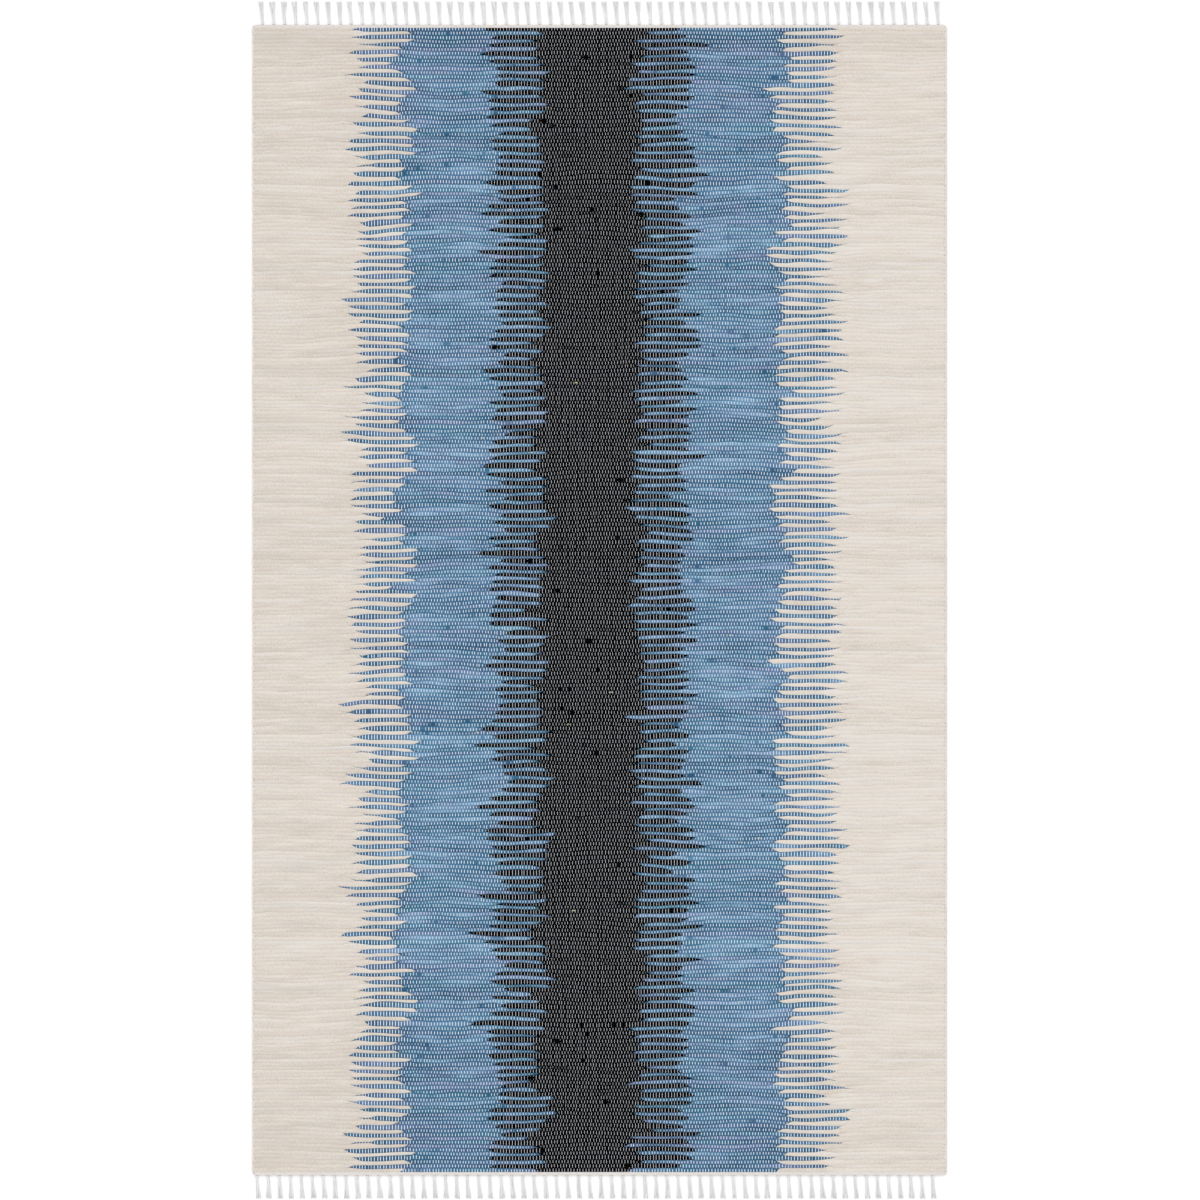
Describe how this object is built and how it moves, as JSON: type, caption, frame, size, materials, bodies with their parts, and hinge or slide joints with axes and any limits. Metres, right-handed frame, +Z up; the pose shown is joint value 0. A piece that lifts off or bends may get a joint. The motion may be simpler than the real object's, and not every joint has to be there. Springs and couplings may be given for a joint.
{
  "type": "cotton rag rug",
  "caption": "Flat-woven cotton rag rug with broad lengthwise bands, ribbed picks, looped selvedges, and a knotted tassel fringe at both ends.",
  "frame": {"origin": "middle of the rug's underside, on the surface that it lies on", "axes": "+Z up out of the rug's face, +Y along the warp towards the north fringe, +X across from selvedge to selvedge"},
  "size_m": [1.5, 2.584, 0.006],
  "materials": {
    "rag_cloth": "matt woven cotton rag in bands of ivory, mottled blue and black",
    "ivory_rag": "matt ivory cotton rag weft, faintly streaked",
    "blue_rag": "matt mottled blue cotton rag weft",
    "black_rag": "matt black cotton rag weft",
    "warp_yarn": "matt ivory cotton yarn"
  },
  "bodies": {
    "root": {"cloth": "rag_cloth", "fringe_north": "warp_yarn", "fringe_south": "warp_yarn"}
  },
  "joints": []
}
